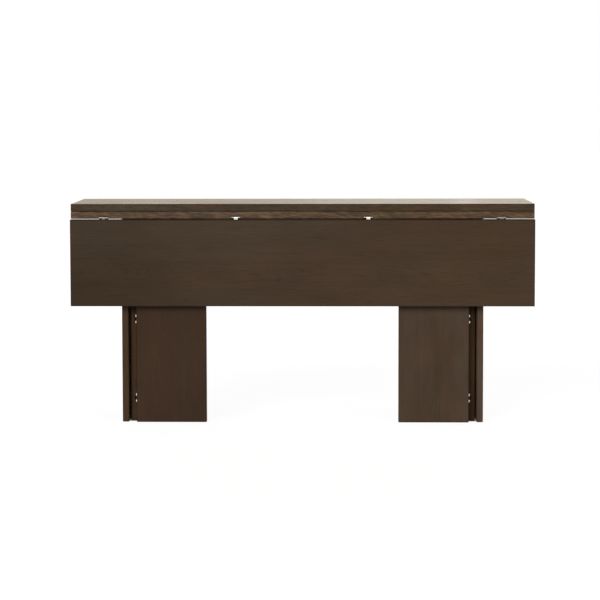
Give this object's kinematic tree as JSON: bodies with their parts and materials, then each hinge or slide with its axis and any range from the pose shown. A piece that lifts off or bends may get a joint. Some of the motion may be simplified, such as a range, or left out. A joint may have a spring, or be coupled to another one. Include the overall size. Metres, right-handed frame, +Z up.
{
  "type": "folding console table",
  "caption": "Narrow wooden console table whose hinged top leaves and folding leg boards open it out to a full dining table.",
  "frame": {"origin": "on the floor, under the middle of the folded table's box", "axes": "+X along the table's length, +Y from its front to its back, +Z up"},
  "size_m": [1.6, 0.3346, 0.762],
  "materials": {
    "dark_oak": "dark stained oak, satin lacquer",
    "beech": "bare beech",
    "bright_nickel": "bright nickel plate",
    "dark_nickel": "black nickel plate",
    "zinc_steel": "zinc plated steel",
    "nylon": "moulded nylon",
    "felt": "pressed felt",
    "rubber": "soft rubber"
  },
  "bodies": {
    "table_frame": {"fixed_top": "dark_oak", "back_rail": "dark_oak", "leg_panel_left": "dark_oak", "leg_panel_right": "dark_oak", "leg_dowels": "beech", "rail_dowels": "beech", "bolt_plugs": "dark_oak", "leg_bolts": "zinc_steel", "leg_barrel_nuts": "zinc_steel", "rail_screws": "zinc_steel", "bracket_screws": "zinc_steel", "rail_brackets": "zinc_steel", "leaf_pads": "felt", "leg_glides": "nylon", "drop_hinge_top_halves": "dark_nickel", "drop_hinge_pins": "bright_nickel", "drop_hinge_top_screws": "zinc_steel", "flip_hinge_top_halves": "dark_nickel", "flip_hinge_pins": "bright_nickel", "flip_hinge_top_screws": "zinc_steel", "front_gate_left_hinge_panel_halves": "bright_nickel", "front_gate_left_hinge_pins": "bright_nickel", "front_gate_left_hinge_panel_screws": "zinc_steel", "rear_gate_left_hinge_panel_halves": "bright_nickel", "rear_gate_left_hinge_pins": "bright_nickel", "rear_gate_left_hinge_panel_screws": "zinc_steel", "front_gate_right_hinge_panel_halves": "bright_nickel", "front_gate_right_hinge_pins": "bright_nickel", "front_gate_right_hinge_panel_screws": "zinc_steel", "rear_gate_right_hinge_panel_halves": "bright_nickel", "rear_gate_right_hinge_pins": "bright_nickel", "rear_gate_right_hinge_panel_screws": "zinc_steel"},
    "front_leaf": {"drop_leaf": "dark_oak", "drop_hinge_leaf_halves": "bright_nickel", "drop_hinge_leaf_screws": "zinc_steel"},
    "back_leaf": {"flip_leaf": "dark_oak", "flip_hinge_leaf_halves": "bright_nickel", "flip_hinge_leaf_screws": "zinc_steel"},
    "front_gate_left_body": {"front_gate_left": "dark_oak", "front_gate_left_glides": "nylon", "front_gate_left_hinge_gate_halves": "dark_nickel", "front_gate_left_hinge_gate_screws": "zinc_steel", "front_gate_left_bumpers": "rubber"},
    "rear_gate_left_body": {"rear_gate_left": "dark_oak", "rear_gate_left_glides": "nylon", "rear_gate_left_hinge_gate_halves": "dark_nickel", "rear_gate_left_hinge_gate_screws": "zinc_steel"},
    "front_gate_right_body": {"front_gate_right": "dark_oak", "front_gate_right_glides": "nylon", "front_gate_right_hinge_gate_halves": "dark_nickel", "front_gate_right_hinge_gate_screws": "zinc_steel", "front_gate_right_bumpers": "rubber"},
    "rear_gate_right_body": {"rear_gate_right": "dark_oak", "rear_gate_right_glides": "nylon", "rear_gate_right_hinge_gate_halves": "dark_nickel", "rear_gate_right_hinge_gate_screws": "zinc_steel"}
  },
  "joints": [
    {"name": "drop_leaf_swing", "type": "hinge", "parent": "table_frame", "child": "front_leaf", "pos_m": [0, -0.1443, 0.713], "axis": [-1, 0, 0], "range_deg": [0, 90]},
    {"name": "flip_leaf_turn", "type": "hinge", "parent": "table_frame", "child": "back_leaf", "pos_m": [0, 0.1638, 0.7363], "axis": [-1, 0, 0], "range_deg": [0, 180]},
    {"name": "front_gate_left_fold", "type": "hinge", "parent": "table_frame", "child": "front_gate_left_body", "pos_m": [-0.58, -0.1127, 0], "axis": [0, 0, 1], "range_deg": [0, 90]},
    {"name": "rear_gate_left_swing", "type": "hinge", "parent": "table_frame", "child": "rear_gate_left_body", "pos_m": [-0.6025, 0.1548, 0], "axis": [0, 0, -1], "range_deg": [0, 180]},
    {"name": "front_gate_right_fold", "type": "hinge", "parent": "table_frame", "child": "front_gate_right_body", "pos_m": [0.58, -0.1127, 0], "axis": [0, 0, -1], "range_deg": [0, 90]},
    {"name": "rear_gate_right_swing", "type": "hinge", "parent": "table_frame", "child": "rear_gate_right_body", "pos_m": [0.6025, 0.1548, 0], "axis": [0, 0, 1], "range_deg": [0, 180]}
  ]
}
